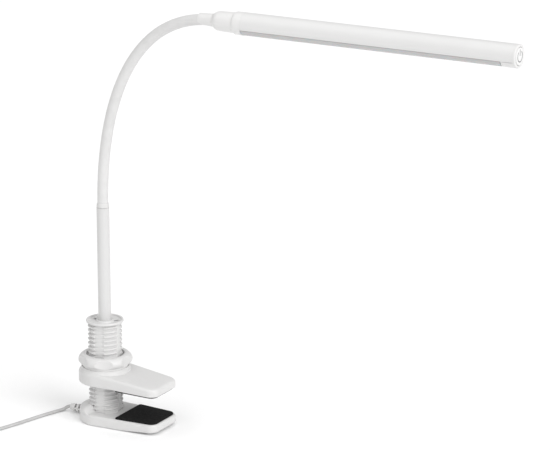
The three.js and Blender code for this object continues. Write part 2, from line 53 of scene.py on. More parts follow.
# Clamp.
JAW_BACK_RADIUS = 28.3
JAW_TIP_X = 75
JAW_CORNER_RADIUS = 10
JAW_CORNER_Y = 14.8
JAW_EDGE = 2.2
LOWER_JAW_TOP = 11.5
UPPER_JAW_BOTTOM = 43.5
UPPER_JAW_TOP = 57
UPPER_JAW_EDGE = 3
UPPER_SLOPE_START = 9.3
UPPER_SLOPE_SOFTNESS = 5
UPPER_SLOPE = 6.5 / 61
HUB_HALF_SPAN = 82
HUB_FADE = 26
HUB_ROOT = 10.8
WALL = 2.4
UNDERSIDE_START = 30
UNDERSIDE_RISE = 3 / 45
GRIP_START = 22
GRIP_SLOPE = 1.8 / 53
PAD_BACK = 26.2
PAD_INSET = 2.6
PAD_THICKNESS = 1.5
LEAD_OUTLET_HEIGHT = 5.5

# Screw post, nut and cap.
POST_CREST = 18
POST_ROOT = 15.3
LAND_ANGLES = (-81, 9, 99, 189)
LAND_DEPTH = 15.4
LAND_HALF_WIDTH = 5.3
KEY_ANGLES = (-81, 99)
KEY_HALF_WIDTH = 4.3
POST_BORE = 9
POST_TOP = 108.2
THREAD_PITCH = 4.7
THREAD_SLACK = 0.45
NUT_BASE = 62.4
NUT_TOP = 73.5
NUT_COUNTERBORE = 70
NUT_LOBE_RADIUS = 28.9
NUT_HOLLOW_RADIUS = 24.9
NUT_HOLLOW_DEPTH = 3.9
NUT_LOBE_HALF_WIDTH = 8.75
NUT_RIM = 0.8
NUT_LOBES = 6
FIRST_LOBE = 29
CAP_SCREW_ANGLES = (35, 175)

# Stem and gooseneck.
STEM_RADIUS = 6.65
STEM_TOP = 232
NECK_RADIUS = 5.6
NECK_START = 234
NECK_END_X = 134.2
NECK_RISE = 130.5
NECK_REACH = 82.3
NECK_SEEN = (1.5, 266)
PIVOT_COUNT = 8
FIRST_PIVOT = 20
PIVOT_SPACING = 33

# Head.
HEAD_HEIGHT = 443.2
HEAD_RADIUS = 11.6
HEAD_INNER = 10.3
TUBE_START = 170.5
REAR_CAP_START = 160.4
TUBE_END = 464.5
SLOT_ANGLE = 25
DIFFUSER_END = 451.5

# Lead.
LEAD_DIAMETER = 3.5
LEAD_HEIGHT = 1.85
COIL_CENTRE = (-109.5, -104.5)
COIL_OUTER = 23.6
COIL_INNER = 14.9
COIL_ENTRY = -20
LAYER_TURNS = 2.5
COIL_LAYERS = 4
STEPS_PER_TURN = 36
PLUG_START = (-126.6, -66, 4.3)
PLUG_HEADING = math.radians(104.5)


# ---- Camera ----------------------------------------------------------------------------------


def add_camera():
    azimuth, elevation, distance = math.radians(29.4), math.radians(16.1), 2.8
    target = Vector((0.2046, 0, 0.2418))
    away = Vector(
        (
            math.sin(azimuth) * math.cos(elevation),
            -math.cos(azimuth) * math.cos(elevation),
            math.sin(elevation),
        )
    )
    camera = bpy.data.objects.new("camera", bpy.data.cameras.new("camera"))
    camera.data.lens = 183.3
    camera.data.sensor_width = 36
    camera.location = target + away * distance
    camera.rotation_euler = (-away).to_track_quat("-Z", "Y").to_euler()
    bpy.context.scene.collection.objects.link(camera)
    bpy.context.scene.camera = camera


add_camera()


# ---- Lead ------------------------------------------------------------------------------------

LEAD_ROUTE = [
    (-45.7, 0, 5.5),
    (-48, -0.2, 4.9),
    (-50.2, -1.3, 3.6),
    (-51.7, -2.9, 2.5),
    (-53, -5.2, 1.95),
    (-54.1, -8, LEAD_HEIGHT),
    (-55.3, -11.6, LEAD_HEIGHT),
    (-56.6, -15.8, LEAD_HEIGHT),
    (-58.6, -22.2, LEAD_HEIGHT),
    (-61.3, -31, LEAD_HEIGHT),
    (-64.3, -42, LEAD_HEIGHT),
    (-67.6, -55, LEAD_HEIGHT),
    (-71.2, -68, LEAD_HEIGHT),
    (-75.2, -81, LEAD_HEIGHT),
    (-79.2, -92.5, LEAD_HEIGHT),
    (-82.6, -101.4, LEAD_HEIGHT),
]
TAIL_ROUTE = [
    (-127.4, -83.4, 9.4),
    (-126.6, -79.8, 7.6),
    (-126.2, -75.6, 5.9),
    (-126.2, -71.2, 4.8),
    (-126.5, -67.4, 4.35),
]


def coil_route():
    """The coil, wound clockwise from above: in, up a layer over half a turn, out, up, and so on."""
    route = []
    turned = 0
    for layer in range(COIL_LAYERS):
        start, end = (COIL_OUTER, COIL_INNER) if layer % 2 == 0 else (COIL_INNER, COIL_OUTER)
        legs = [(LAYER_TURNS, start, end, 0)]
        if layer < COIL_LAYERS - 1:
            legs.append((0.5, end, end, 1))
        for turns, first, last, climb in legs:
            steps = round(turns * STEPS_PER_TURN)
            for step in range(steps):
                share = step / steps
                angle = math.radians(COIL_ENTRY - 360 * (turned + turns * share))
                radius = first + (last - first) * share
                route.append(
                    (
                        COIL_CENTRE[0] + radius * math.cos(angle),
                        COIL_CENTRE[1] + radius * math.sin(angle),
                        LEAD_HEIGHT + LEAD_DIAMETER * (layer + climb * share),
                    )
                )
            turned += turns
    return route


def smoothed(route, steps=6):
    """A Catmull-Rom line through the points of a route."""
    points = [Vector(p) for p in route]
    padded = [2 * points[0] - points[1], *points, 2 * points[-1] - points[-2]]
    line = []
    for a, b, c, d in zip(padded, padded[1:], padded[2:], padded[3:]):
        for k in range(steps):
            t = k / steps
            line.append(
                b
                + (c - a) * (t / 2)
                + (2 * a - 5 * b + 4 * c - d) * (t**2 / 2)
                + (3 * b - 3 * c + d - a) * (t**3 / 2)
            )
    return [*line, points[-1]]


LEAD_LINE = smoothed([(-42.5, 0, LEAD_OUTLET_HEIGHT), *LEAD_ROUTE, *coil_route(), *TAIL_ROUTE], 3)


def tube_rings(line, radius, sides):
    """Rings round a line that never runs straight up."""
    rings = []
    for k, point in enumerate(line):
        ahead = (line[min(k + 1, len(line) - 1)] - line[max(k - 1, 0)]).normalized()
        side = ahead.cross(Vector((0, 0, 1))).normalized()
        up = side.cross(ahead)
        angles = [2 * math.pi * i / sides for i in range(sides)]
        rings.append([point + radius * (side * math.cos(a) + up * math.sin(a)) for a in angles])
    return rings


def add_lead():
    """The lead on its route, as a tube whose ring centres are the line above."""
    rings = tube_rings(LEAD_LINE, LEAD_DIAMETER / 2, 16)
    nodes = ["lead", "lead_coil", "lead_tail"]
    return piece("lead_cord", [shell(rings)], "lead_jacket", "base", nodes, 60)


# ---- Finishes --------------------------------------------------------------------------------


class Graph:
    """A material's nodes, with the object's own coordinates to hang patterns on."""

    def __init__(self, name):
        self.material = bpy.data.materials.new(name)
        self.material.use_nodes = True
        self.tree = self.material.node_tree
        self.shader = self.tree.nodes["Principled BSDF"]
        self.place = self.tree.nodes.new("ShaderNodeTexCoord").outputs["Object"]

    def link(self, output, target):
        self.tree.links.new(output, target)

    def stretched(self, scale):
        node = self.tree.nodes.new("ShaderNodeMapping")
        node.inputs["Scale"].default_value = scale
        self.link(self.place, node.inputs["Vector"])
        return node.outputs["Vector"]

    def noise(self, scale, detail=3, where=None):
        node = self.tree.nodes.new("ShaderNodeTexNoise")
        node.inputs["Scale"].default_value = scale
        node.inputs["Detail"].default_value = detail
        self.link(where or self.place, node.inputs["Vector"])
        return node.outputs["Fac"]

    def cells(self, scale):
        node = self.tree.nodes.new("ShaderNodeTexVoronoi")
        node.inputs["Scale"].default_value = scale
        self.link(self.place, node.inputs["Vector"])
        return node.outputs["Distance"]

    def spread(self, value, low, high, source=(0.3, 0.7)):
        node = self.tree.nodes.new("ShaderNodeMapRange")
        node.inputs["From Min"].default_value, node.inputs["From Max"].default_value = source
        node.inputs["To Min"].default_value = low
        node.inputs["To Max"].default_value = high
        self.link(value, node.inputs["Value"])
        return node.outputs["Result"]

    def ramp(self, value, *stops):
        node = self.tree.nodes.new("ShaderNodeValToRGB")
        elements = node.color_ramp.elements
        while len(elements) < len(stops):
            elements.new(1)
        for element, (position, colour) in zip(elements, stops):
            element.position = position
            element.color = (*colour, 1)
        self.link(value, node.inputs["Fac"])
        return node.outputs["Color"]

    def bump(self, height, depth, strength=1.0, below=None):
        node = self.tree.nodes.new("ShaderNodeBump")
        node.inputs["Distance"].default_value = depth * MM
        node.inputs["Strength"].default_value = strength
        self.link(height, node.inputs["Height"])
        if below:
            self.link(below, node.inputs["Normal"])
        return node.outputs["Normal"]

    def set(self, **values):
        for name, value in values.items():
            self.shader.inputs[name.replace("_", " ")].default_value = value

    def worn(self):
        """How far a point is on an edge, from the mesh's own convexity."""
        return self.tree.nodes.new("ShaderNodeNewGeometry").outputs["Pointiness"]


def grey(level, warm=0.0):
    return (level, level * (1 - warm / 2), level * (1 - warm))


def moulded(name, level, rough, grain=0.02, warm=0.012, coat=0.0):
    """A moulded plastic: fine spark-eroded grain, patchy gloss and a slight tone drift."""
    graph = Graph(name)
    drift = graph.noise(28, 2)
    graph.link(
        graph.ramp(drift, (0.35, grey(level * 0.975, warm)), (0.65, grey(level, warm))),
        graph.shader.inputs["Base Color"],
    )
    graph.link(graph.spread(graph.noise(210, 4), *rough), graph.shader.inputs["Roughness"])
    waves = graph.bump(graph.noise(60, 1), 0.06, 0.35)
    graph.link(graph.bump(graph.noise(2600, 3), grain, 0.6, waves), graph.shader.inputs["Normal"])
    graph.set(IOR=1.5, Coat_Weight=coat, Coat_Roughness=0.2)
    return graph.material


def painted(name, level, rough):
    """Paint on an extruded or drawn metal, with faint draw lines along it and orange peel."""
    graph = Graph(name)
    lines = graph.noise(1, 3, graph.stretched((9, 900, 900)))
    graph.link(
        graph.ramp(graph.noise(22, 2), (0.35, grey(level * 0.98, 0.01)), (0.65, grey(level, 0.008))),
        graph.shader.inputs["Base Color"],
    )
    graph.link(graph.spread(lines, *rough), graph.shader.inputs["Roughness"])
    peel = graph.bump(graph.noise(420, 2), 0.012, 0.5)
    graph.link(graph.bump(lines, 0.01, 0.5, peel), graph.shader.inputs["Normal"])
    graph.set(IOR=1.5, Coat_Weight=0.15, Coat_Roughness=0.25)
    return graph.material


def foam(name):
    """Dense black foam rubber: small closed cells and a dusting on the raised ones."""
    graph = Graph(name)
    cells = graph.cells(1500)
    graph.link(
        graph.ramp(graph.noise(700, 4), (0.3, grey(0.004)), (0.62, grey(0.008)), (0.8, grey(0.022))),
        graph.shader.inputs["Base Color"],
    )
    graph.link(graph.spread(graph.noise(300, 3), 0.78, 0.95), graph.shader.inputs["Roughness"])
    dents = graph.bump(graph.noise(160, 2), 0.15, 0.4)
    graph.link(graph.bump(cells, 0.18, 0.8, dents), graph.shader.inputs["Normal"])
    graph.set(IOR=1.45, Specular_IOR_Level=0.3)
    return graph.material


def soft_skin(name, level, rough, warm=0.01, marks=0.95):
    """An extruded soft skin, such as a cable jacket or the gooseneck's sleeve."""
    graph = Graph(name)
    graph.link(
        graph.ramp(
            graph.noise(90, 3),
            (0.3, grey(level * marks, warm)),
            (0.6, grey(level, warm)),
        ),
        graph.shader.inputs["Base Color"],
    )
    graph.link(graph.spread(graph.noise(260, 3), *rough), graph.shader.inputs["Roughness"])
    graph.link(graph.bump(graph.noise(1900, 3), 0.02, 0.5), graph.shader.inputs["Normal"])
    graph.set(IOR=1.48)
    return graph.material


def bare_metal(name, colour, rough, wear=1.35):
    """Plated or drawn metal, with fine scratches and brighter edges."""
    graph = Graph(name)
    bright = tuple(min(1, c * wear) for c in colour)
    graph.link(
        graph.ramp(graph.worn(), (0.49, colour), (0.56, bright)),
        graph.shader.inputs["Base Color"],
    )
    scratches = graph.noise(1, 4, graph.stretched((300, 2400, 2400)))
    graph.link(graph.spread(scratches, *rough), graph.shader.inputs["Roughness"])
    graph.link(graph.bump(scratches, 0.01, 0.4), graph.shader.inputs["Normal"])
    graph.set(Metallic=1.0)
    return graph.material


def milky(name, level):
    """The diffuser's opal plastic, frosted by very fine ribs along it."""
    graph = Graph(name)
    ribs = graph.noise(1, 2, graph.stretched((6, 1700, 1700)))
    graph.link(
        graph.ramp(graph.noise(30, 2), (0.35, grey(level * 0.97)), (0.65, grey(level))),
        graph.shader.inputs["Base Color"],
    )
    graph.link(graph.spread(graph.noise(240, 3), 0.38, 0.52), graph.shader.inputs["Roughness"])
    graph.link(graph.bump(ribs, 0.02, 0.5), graph.shader.inputs["Normal"])
    graph.set(IOR=1.49, Subsurface_Weight=0.2, Subsurface_Scale=0.002)
    return graph.material


def coloured(name, colour, rough, dark=0.8):
    """A small inner part: its colour with a mottle, and a fine surface."""
    graph = Graph(name)
    shade = tuple(c * dark for c in colour)
    graph.link(
        graph.ramp(graph.noise(500, 3), (0.3, shade), (0.65, colour)),
        graph.shader.inputs["Base Color"],
    )
    graph.link(graph.spread(graph.noise(700, 2), *rough), graph.shader.inputs["Roughness"])
    graph.link(graph.bump(graph.noise(1500, 2), 0.02, 0.4), graph.shader.inputs["Normal"])
    return graph.material


FINISHES = {
    "white_plastic": moulded("white_plastic", 0.68, (0.36, 0.5)),
    "head_plastic": moulded("head_plastic", 0.76, (0.3, 0.44)),
    "white_gloss": moulded("white_gloss", 0.82, (0.18, 0.28), 0.006, 0.008, 0.4),
    "white_steel": painted("white_steel", 0.65, (0.33, 0.46)),
    "white_aluminium": painted("white_aluminium", 0.75, (0.28, 0.4)),
    "sheath": soft_skin("sheath", 0.69, (0.5, 0.64)),
    "black_foam": foam("black_foam"),
    "lead_jacket": soft_skin("lead_jacket", 0.5, (0.42, 0.56), 0.005, 0.88),
    "steel": bare_metal("steel", (0.35, 0.35, 0.36), (0.24, 0.42)),
    "bare_aluminium": bare_metal("bare_aluminium", (0.6, 0.61, 0.62), (0.28, 0.44)),
    # The diffuser's low level of 0.52 is painted shade, darkening the underside of the head below its
    # opal white.
    "milky": milky("milky", 0.52),
    "slick_white": moulded("slick_white", 0.78, (0.22, 0.34), 0.01),
    "board_white": coloured("board_white", (0.85, 0.85, 0.83), (0.35, 0.5), 0.96),
    "board_green": coloured("board_green", (0.02, 0.13, 0.05), (0.25, 0.4)),
    "phosphor": coloured("phosphor", (0.85, 0.62, 0.1), (0.3, 0.45), 0.9),
    "black_plastic": coloured("black_plastic", (0.02, 0.02, 0.021), (0.35, 0.5)),
    "red_insulation": coloured("red_insulation", (0.45, 0.03, 0.02), (0.4, 0.55)),
    "black_insulation": coloured("black_insulation", (0.015, 0.015, 0.016), (0.4, 0.55)),
    "mark_grey": coloured("mark_grey", (0.2, 0.2, 0.205), (0.4, 0.55), 0.85),
}

# The CAD's own parts that keep their shape: inner parts and the underside.
KEPT_PARTS = {
    "white_plastic": ["bottom_cover"],
    "steel": [*(f"cover_screw_{k}" for k in range(1, 5)), "cap_screw_1", "cap_screw_2"],
    "bare_aluminium": ["stem_lock_ring"],
    "board_white": ["led_board"],
    "phosphor": [f"led_{k}" for k in range(1, 9)],
    "black_plastic": ["tact_switch"],
    "board_green": ["control_board"],
    "red_insulation": ["board_lead_red"],
    "black_insulation": ["board_lead_black"],
}


def dress_kept_parts():
    for finish, names in KEPT_PARTS.items():
        for name in names:
            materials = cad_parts[name].data.materials
            materials.clear()
            materials.append(FINISHES[finish])


dress_kept_parts()


# ---- Mesh builders ---------------------------------------------------------------------------


def shell(rings, closed=False):
    """Points and faces through rings of points. Closed joins the last ring to the first one,
    and otherwise the two end rings are filled."""
    size = len(rings[0])
    points = [Vector(p) * MM for ring in rings for p in ring]
    faces = []
    for i in range(len(rings) if closed else len(rings) - 1):
        a, b = i * size, (i + 1) % len(rings) * size
        for k in range(size):
            n = (k + 1) % size
            faces.append([a + k, a + n, b + n, b + k])
    if not closed:
        last = (len(rings) - 1) * size
        faces.append(list(reversed(range(size))))
        faces.append([last + k for k in range(size)])
    return points, faces


def piece(name, shells, finish, body=None, nodes=(), crease=38):
    """One object from one or more shells, smooth except at its creases."""
    points, faces = [], []
    for shell_points, shell_faces in shells:
        start = len(points)
        points += shell_points
        faces += [[start + k for k in face] for face in shell_faces]
    mesh = bpy.data.meshes.new(name)
    mesh.from_pydata(points, [], faces)
    shape = bmesh.new()
    shape.from_mesh(mesh)
    bmesh.ops.recalc_face_normals(shape, faces=shape.faces)
    for face in shape.faces:
        face.smooth = True
    for edge in shape.edges:
        edge.smooth = edge.calc_face_angle(0) < math.radians(crease)
    shape.to_mesh(mesh)
    shape.free()
    mesh.materials.append(FINISHES[finish])
    made = bpy.data.objects.new(name, mesh)
    bpy.context.scene.collection.objects.link(made)
    if body:
        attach(made, body)
    if nodes:
        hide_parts(*nodes)
    return made


def softened(profile, radius, closed=True, steps=4):
    """A profile with its corners rounded. A third number on a corner is its own radius."""
    count = len(profile)
    line = []
    for i, corner in enumerate(profile):
        here = Vector(corner[:2])
        wanted = corner[2] if len(corner) > 2 else radius
        if wanted == 0 or (not closed and i in (0, count - 1)):
            line.append(here)
            continue
        back = Vector(profile[i - 1][:2]) - here
        ahead = Vector(profile[(i + 1) % count][:2]) - here
        start = here + back.normalized() * min(wanted, 0.45 * back.length)
        end = here + ahead.normalized() * min(wanted, 0.45 * ahead.length)
        for k in range(steps + 1):
            t = k / steps
            line.append(start * (1 - t) ** 2 + here * 2 * t * (1 - t) + end * t * t)
    return line


def upright(x, y, z):
    return (x, y, z)


def along_head(x, y, z):
    """From a turned part's own axes to the head's, which runs along X."""
    return (z, x, HEAD_HEIGHT + y)


def lathe(profile, radius=0.4, place=upright, segments=96, closed=True):
    """A shell turned about the local Z axis from [radius, height] pairs."""
    rings = []
    for r, z in softened(profile, radius, closed):
        angles = (2 * math.pi * k / segments for k in range(segments))
        rings.append([place(r * math.cos(a), r * math.sin(a), z) for a in angles])
    return shell(rings, closed)


def outline(arcs, straight=26, arc_steps=12):
    """Points of an outline of arcs joined by straight runs, each with its outward normal.
    An arc is (centre x, centre y, radius, start, end) in degrees, anticlockwise."""
    found = []
    for k, (cx, cy, radius, start, end) in enumerate(arcs):
        steps = max(arc_steps, round(abs(end - start) / 4))
        for i in range(steps + 1):
            angle = math.radians(start + (end - start) * i / steps)
            nx, ny = math.cos(angle), math.sin(angle)
            found.append((cx + radius * nx, cy + radius * ny, nx, ny))
        x, y, nx, ny = found[-1]
        after_x, after_y, after_radius, after_start, _ = arcs[(k + 1) % len(arcs)]
        angle = math.radians(after_start)
        next_x = after_x + after_radius * math.cos(angle)
        next_y = after_y + after_radius * math.sin(angle)
        for i in range(1, straight):
            share = i / straight
            found.append((x + (next_x - x) * share, y + (next_y - y) * share, nx, ny))
    return found


def flat_at(height):
    """A height for inset_ring and its kind that is the same everywhere."""
    return lambda x, y: height


def inset_ring(points, inset, height):
    """The outline drawn in by an inset, at a height that may depend on the place."""
    ring = []
    for x, y, nx, ny in points:
        px, py = x - nx * inset, y - ny * inset
        ring.append((px, py, height(px, py)))
    return ring


def rounded_edge(points, edge, height, rising, steps=6):
    """Rings round a plate's edge of this radius: from the side up or from the face down."""
    rings = []
    for k in range(steps + 1):
        angle = math.pi / 2 * k / steps
        inset = edge * (1 - math.cos(angle))
        drop = edge * (1 - math.sin(angle))
        rings.append(inset_ring(points, inset, lambda x, y, d=drop: height(x, y) - rising * d))
    return rings if rising > 0 else rings[::-1]


def between(first, last, height, steps=10):
    """Rings across a face between two rings, at the face's own height."""
    rings = []
    for k in range(1, steps):
        share = k / steps
        ring = []
        for a, b in zip(first, last):
            x = a[0] + (b[0] - a[0]) * share
            y = a[1] + (b[1] - a[1]) * share
            ring.append((x, y, height(x, y)))
        rings.append(ring)
    return rings


# ---- Clamp -----------------------------------------------------------------------------------


def jaw_points():
    reach = JAW_TIP_X - JAW_CORNER_RADIUS
    distance = math.hypot(reach, JAW_CORNER_Y)
    lean = math.acos((JAW_BACK_RADIUS - JAW_CORNER_RADIUS) / distance)
    tangent = math.degrees(math.atan2(JAW_CORNER_Y, reach) + lean)
    return outline(
        [
            (0, 0, JAW_BACK_RADIUS, tangent, 360 - tangent),
            (reach, -JAW_CORNER_Y, JAW_CORNER_RADIUS, -tangent, 0),
            (reach, JAW_CORNER_Y, JAW_CORNER_RADIUS, 0, tangent),
        ]
    )


def land_radius(angle, depth, half_width, lands):
    """How far out a flat land reaches at this angle, without limit beside the lands."""
    for land in lands:
        off = math.remainder(angle - math.radians(land), 2 * math.pi)
        if abs(off) < math.pi / 2 and abs(depth * math.tan(off)) < half_width:
            return depth / math.cos(off)
    return math.inf


def post_hole(ring, clearance, height, keys=()):
    """The hole round the post and its keys, one point for each point of the ring about it."""
    hole = []
    for x, y, _ in ring:
        angle = math.atan2(y, x)
        key = land_radius(angle, LAND_DEPTH + 0.5, KEY_HALF_WIDTH, keys)
        radius = min(POST_CREST + clearance, key)
        px, py = radius * math.cos(angle), radius * math.sin(angle)
        hole.append((px, py, height(px, py)))
    return hole


def underside(x, _):
    """The lower jaw's underside, which rises gently towards the tip."""
    return max(0, (x - UNDERSIDE_START) * UNDERSIDE_RISE)


def eased(share):
    """From 0 to 1 with a soft start and end, and held outside them."""
    held = min(max(share, 0), 1)
    return held * held * (3 - 2 * held)


def hub_shell():
    """The raised hub round the back of the post, which sinks into the jaw's top at both ends."""
    section = softened([(16.2, 8), (27.9, 8), (27.9, 14.6, 2.2), (19, 18.6, 1.2), (16.2, 18.9)], 0.2)
    rings = []
    for turned in range(-HUB_HALF_SPAN, HUB_HALF_SPAN + 1, 2):
        angle = math.radians(180 + turned)
        fade = eased((HUB_HALF_SPAN - abs(turned)) / HUB_FADE)
        ring = []
        for radius, z in section:
            height = HUB_ROOT + (z - HUB_ROOT) * fade if z > HUB_ROOT else z
            ring.append((radius * math.cos(angle), radius * math.sin(angle), height))
        rings.append(ring)
    return shell(rings)


def add_lower_jaw():
    points = jaw_points()
    ceiling = LOWER_JAW_TOP - WALL
    inner = inset_ring(points, WALL, flat_at(ceiling))
    top_edge = rounded_edge(points, JAW_EDGE, flat_at(LOWER_JAW_TOP), 1)
    low_edge = rounded_edge(points, JAW_EDGE, underside, -1)
    hole_low = post_hole(inner, 0.1, flat_at(ceiling), LAND_ANGLES)
    hole_top = post_hole(top_edge[-1], 0.1, flat_at(LOWER_JAW_TOP), LAND_ANGLES)
    rings = [hole_low]
    rings += between(hole_low, inner, flat_at(ceiling), 4)
    rings += [inner, inset_ring(points, WALL, underside)]
    rings += low_edge
    rings += top_edge
    rings += between(top_edge[-1], hole_top, flat_at(LOWER_JAW_TOP))
    rings.append(hole_top)
    piece("lower_jaw_shell", [shell(rings, True), hub_shell()], "white_plastic", "base", ["lower_jaw"])


def pad_points():
    reach = JAW_TIP_X - JAW_CORNER_RADIUS
    corner = JAW_CORNER_RADIUS - PAD_INSET
    back_y = JAW_BACK_RADIUS - PAD_INSET - 0.7
    return outline(
        [
            (PAD_BACK + 2, -back_y + 2, 2, -180, -90),
            (reach, -JAW_CORNER_Y, corner, -90, 0),
            (reach, JAW_CORNER_Y, corner, 0, 90),
            (PAD_BACK + 2, back_y - 2, 2, 90, 180),
        ]
    )


def pad_shell(low, high):
    points = pad_points()
    rings = rounded_edge(points, 0.15, low, -1, 2)
    rings += rounded_edge(points, 0.45, high, 1, 4)
    return shell(rings)


def add_lower_pad():
    top = LOWER_JAW_TOP + PAD_THICKNESS
    shape = pad_shell(flat_at(LOWER_JAW_TOP), flat_at(top))
    piece("lower_pad_foam", [shape], "black_foam", "base", ["lower_pad"])


def grip_face(drop):
    """The upper jaw's gripping face, which toes in towards the tip."""
    return lambda x, y: UPPER_JAW_BOTTOM - max(0, x - GRIP_START) * GRIP_SLOPE - drop


def add_upper_pad():
    shape = pad_shell(grip_face(PAD_THICKNESS), grip_face(0))
    piece("upper_pad_foam", [shape], "black_foam", "jaw", ["upper_pad"])


def upper_top(x, _):
    """The upper jaw's top: level at the back and sloping down to the tip, with a soft change."""
    run = x - UPPER_SLOPE_START
    soft = UPPER_SLOPE_SOFTNESS
    past = 0 if run < -soft else run if run > soft else (run + soft) ** 2 / (4 * soft)
    return UPPER_JAW_TOP - UPPER_SLOPE * past


def add_upper_jaw():
    points = jaw_points()
    low_edge = rounded_edge(points, 1.4, grip_face(0), -1)
    top_edge = rounded_edge(points, UPPER_JAW_EDGE, upper_top, 1)
    hole_low = post_hole(low_edge[0], 0.45, flat_at(UPPER_JAW_BOTTOM), KEY_ANGLES)
    hole_top = post_hole(top_edge[-1], 0.45, upper_top, KEY_ANGLES)
    rings = [hole_low]
    rings += between(hole_low, low_edge[0], grip_face(0))
    rings += low_edge
    rings += top_edge
    rings += between(top_edge[-1], hole_top, upper_top)
    rings.append(hole_top)
    boss = lathe(
        [
            (19, 53),
            (27.3, 53),
            (27.3, 56.5, 1.2),
            (25.5, 58.6, 1),
            (25.2, 60.3, 0.3),
            (24.3, 60.3, 0.1),
            (24.3, 59.4, 0.1),
            (19.5, 59.4, 0.1),
            (19.3, 60.3, 0.2),
            (19, 60.3, 0.1),
        ],
        0.2,
        segments=128,
    )
    piece("upper_jaw_body", [shell(rings, True), boss], "white_plastic", "jaw", ["upper_jaw"])


def add_thrust_ring():
    profile = [(19.8, 59.4), (24, 59.4), (24, 62.1), (19.8, 62.1)]
    piece("thrust_ring_slick", [lathe(profile, 0.4)], "slick_white", "jaw", ["thrust_ring"])


# ---- Post, nut and cap -----------------------------------------------------------------------


def thread_radius(angle, z):
    """A right-hand thread's radius, with rounded crests and roots."""
    turn = (z / THREAD_PITCH - angle / (2 * math.pi)) % 1
    rise = 0.5 - 0.5 * math.cos(2 * math.pi * turn)
    return POST_ROOT + (POST_CREST - POST_ROOT) * (0.35 * rise + 0.65 * eased(rise))


def steps_between(low, high, step):
    count = max(1, round((high - low) / step))
    return [low + (high - low) * k / count for k in range(count + 1)]


def post_columns():
    """Angles round the post, with a close pair at each edge of each land."""
    edge = math.atan2(LAND_HALF_WIDTH, LAND_DEPTH)
    columns = [2 * math.pi * k / 150 for k in range(150)]
    for land in LAND_ANGLES:
        for off in (-edge - 0.005, -edge + 0.005, edge - 0.005, edge + 0.005):
            columns.append((math.radians(land) + off) % (2 * math.pi))
    return sorted(columns)


def add_post():
    columns = post_columns()
    lands = [land_radius(angle, LAND_DEPTH, LAND_HALF_WIDTH, LAND_ANGLES) for angle in columns]
    rings = []
    for z in steps_between(8.7, POST_TOP, 0.3):
        ring = []
        for angle, land in zip(columns, lands):
            radius = min(thread_radius(angle, z), land)
            ring.append((radius * math.cos(angle), radius * math.sin(angle), z))
        rings.append(ring)
    for radius, z in [(13.9, POST_TOP), (13.9, 104.6), (POST_BORE, 104.5), (POST_BORE, 8.7)]:
        rings.append([(radius * math.cos(a), radius * math.sin(a), z) for a in columns])
    foot = lathe([(POST_BORE, 3.6), (19.9, 3.6), (19.9, 8.7), (POST_BORE, 8.7)], 0.4)
    piece("post_thread", [shell(rings, True), foot], "white_plastic", "base", ["threaded_post"], 46)


def lobe_radius(angle):
    """The nut's outline: six narrow lobes, and a wide hollow between each two."""
    spacing = 2 * math.pi / NUT_LOBES
    off = abs(math.remainder(angle - math.radians(FIRST_LOBE), spacing))
    share = (math.degrees(off) - NUT_LOBE_HALF_WIDTH) / (180 / NUT_LOBES - NUT_LOBE_HALF_WIDTH)
    if share <= 0:
        return NUT_LOBE_RADIUS
    return NUT_HOLLOW_RADIUS + NUT_HOLLOW_DEPTH * max(0, 1 - share) ** 2.2


def rim_inset(z):
    """How far the outline is drawn in by the rounding of the nut's top edge."""
    share = max(0, z - NUT_TOP + NUT_RIM) / NUT_RIM
    return NUT_RIM * (1 - math.sqrt(max(0, 1 - share * share)))


def add_nut():
    columns = [math.radians(FIRST_LOBE) + 2 * math.pi * k / 288 for k in range(288)]
    barrel = softened(
        [
            (25, NUT_BASE),
            (28.2, 65.2, 1.6),
            (28.6, 68.2, 1.6),
            (26.8, 71.6, 2),
            (23.8, NUT_TOP, 2),
            (20.2, NUT_TOP, 0.3),
            (20, NUT_COUNTERBORE),
        ],
        0.3,
        closed=False,
        steps=6,
    )
    rings = []
    for radius, z in fine_line(barrel, 0.4):
        ring = []
        for angle in columns:
            around = min(radius, lobe_radius(angle) - rim_inset(z))
            ring.append((around * math.cos(angle), around * math.sin(angle), z))
        rings.append(ring)
    for z in reversed(steps_between(NUT_BASE, NUT_COUNTERBORE, 0.35)):
        ring = []
        for angle in columns:
            around = thread_radius(angle, z) + THREAD_SLACK
            ring.append((around * math.cos(angle), around * math.sin(angle), z))
        rings.append(ring)
    piece("nut_body", [shell(rings, True)], "white_plastic", "nut", ["hand_nut"], 36)


def fine_line(line, step):
    """A line with points no further apart than a step."""
    made = []
    for a, b in zip(line, line[1:]):
        count = max(1, math.ceil((b - a).length / step))
        made += [a.lerp(b, k / count) for k in range(count)]
    return [*made, line[-1]]


def add_cap():
    shape = lathe(
        [
            (STEM_RADIUS + 0.1, 101),
            (POST_BORE - 0.3, 101),
            (POST_BORE - 0.3, 104.8),
            (13.6, 104.8),
            (13.6, POST_TOP),
            (19.6, POST_TOP, 0.6),
            (19.6, POST_TOP + 2.5, 0.9),
            (17.6, POST_TOP + 2.5, 0.6),
            (17, POST_TOP + 0.7, 0.5),
            (9.6, POST_TOP + 0.3, 0.5),
            (8.8, POST_TOP + 2, 0.5),
            (STEM_RADIUS + 0.1, POST_TOP + 2, 0.2),
        ],
        0.2,
        segments=128,
    )
    cap = piece("post_cap_body", [shape], "white_plastic", "base", ["post_cap"])
    for angle in CAP_SCREW_ANGLES:
        hole_x = 11.3 * math.cos(math.radians(angle))
        hole_y = 11.3 * math.sin(math.radians(angle))
        profile = [(0.01, 106.9), (2.8, 106.9), (2.8, 112), (0.01, 112)]
        drill = lathe(profile, 0, lambda x, y, z: (x + hole_x, y + hole_y, z), 32)
        bore(cap, piece("drill", [drill], "white_plastic"))


